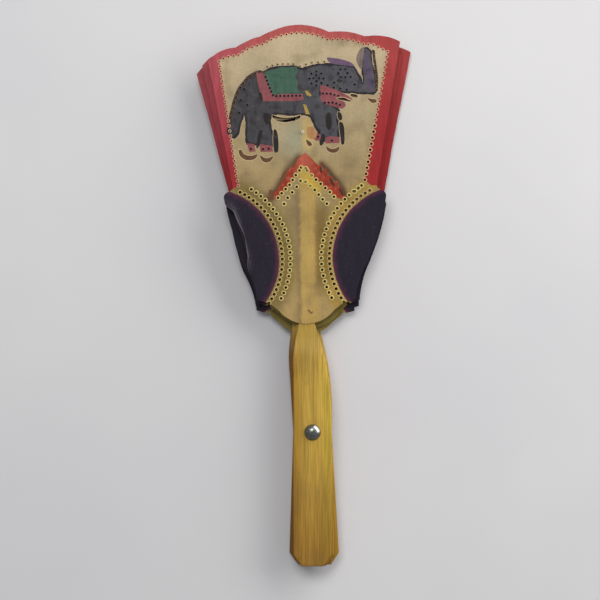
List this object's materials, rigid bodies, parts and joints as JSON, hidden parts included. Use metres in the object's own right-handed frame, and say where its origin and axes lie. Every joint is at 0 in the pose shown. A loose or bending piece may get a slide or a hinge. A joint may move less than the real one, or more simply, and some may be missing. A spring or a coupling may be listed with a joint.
{
  "type": "hand fan",
  "caption": "Folding hand fan with stiff painted rawhide leaves on flat bamboo sticks that turn about one domed rivet.",
  "frame": {"origin": "on the pivot axis, at the flat end of the rivet's tail, which is the lowest point of the fan lying face up", "axes": "+Y up the closed fan from the rivet to the crown of the front leaf, +X to the right seen from the front, +Z out of the painted front"},
  "size_m": [0.1115, 0.281, 0.015],
  "materials": {
    "bamboo": "smooth split bamboo with lengthwise grain",
    "rawhide": "stiff translucent rawhide, punched and hand painted",
    "cord": "waxed cord",
    "thread": "dark thread",
    "rivet_steel": "bright plated steel, lightly worn"
  },
  "bodies": {
    "blade_5": {"stick_5": "bamboo", "leaf_5": "rawhide", "upper_tie_5": "cord", "lower_tie_5": "thread", "rivet": "rivet_steel", "rear_washer": "rivet_steel"},
    "blade_4": {"stick_4": "bamboo", "leaf_4": "rawhide", "upper_tie_4": "cord", "lower_tie_4": "thread"},
    "blade_3": {"stick_3": "bamboo", "leaf_3": "rawhide", "upper_tie_3": "cord", "lower_tie_3": "thread"},
    "blade_2": {"stick_2": "bamboo", "leaf_2": "rawhide", "upper_tie_2": "cord", "lower_tie_2": "thread"},
    "blade_1": {"stick_1": "bamboo", "leaf_1": "rawhide", "upper_tie_1": "cord", "lower_tie_1": "thread"}
  },
  "joints": [
    {"name": "open_1", "type": "hinge", "parent": "blade_2", "child": "blade_1", "pos_m": [0, 0, 0], "axis": [0, 0, 1], "range_deg": [-1.8, 28.2]},
    {"name": "open_2", "type": "hinge", "parent": "blade_3", "child": "blade_2", "pos_m": [0, 0, 0], "axis": [0, 0, 1], "range_deg": [-0.8, 29.2]},
    {"name": "open_3", "type": "hinge", "parent": "blade_4", "child": "blade_3", "pos_m": [0, 0, 0], "axis": [0, 0, 1], "range_deg": [-7, 23]},
    {"name": "open_4", "type": "hinge", "parent": "blade_5", "child": "blade_4", "pos_m": [0, 0, 0], "axis": [0, 0, 1], "range_deg": [-4.2, 25.8]}
  ]
}
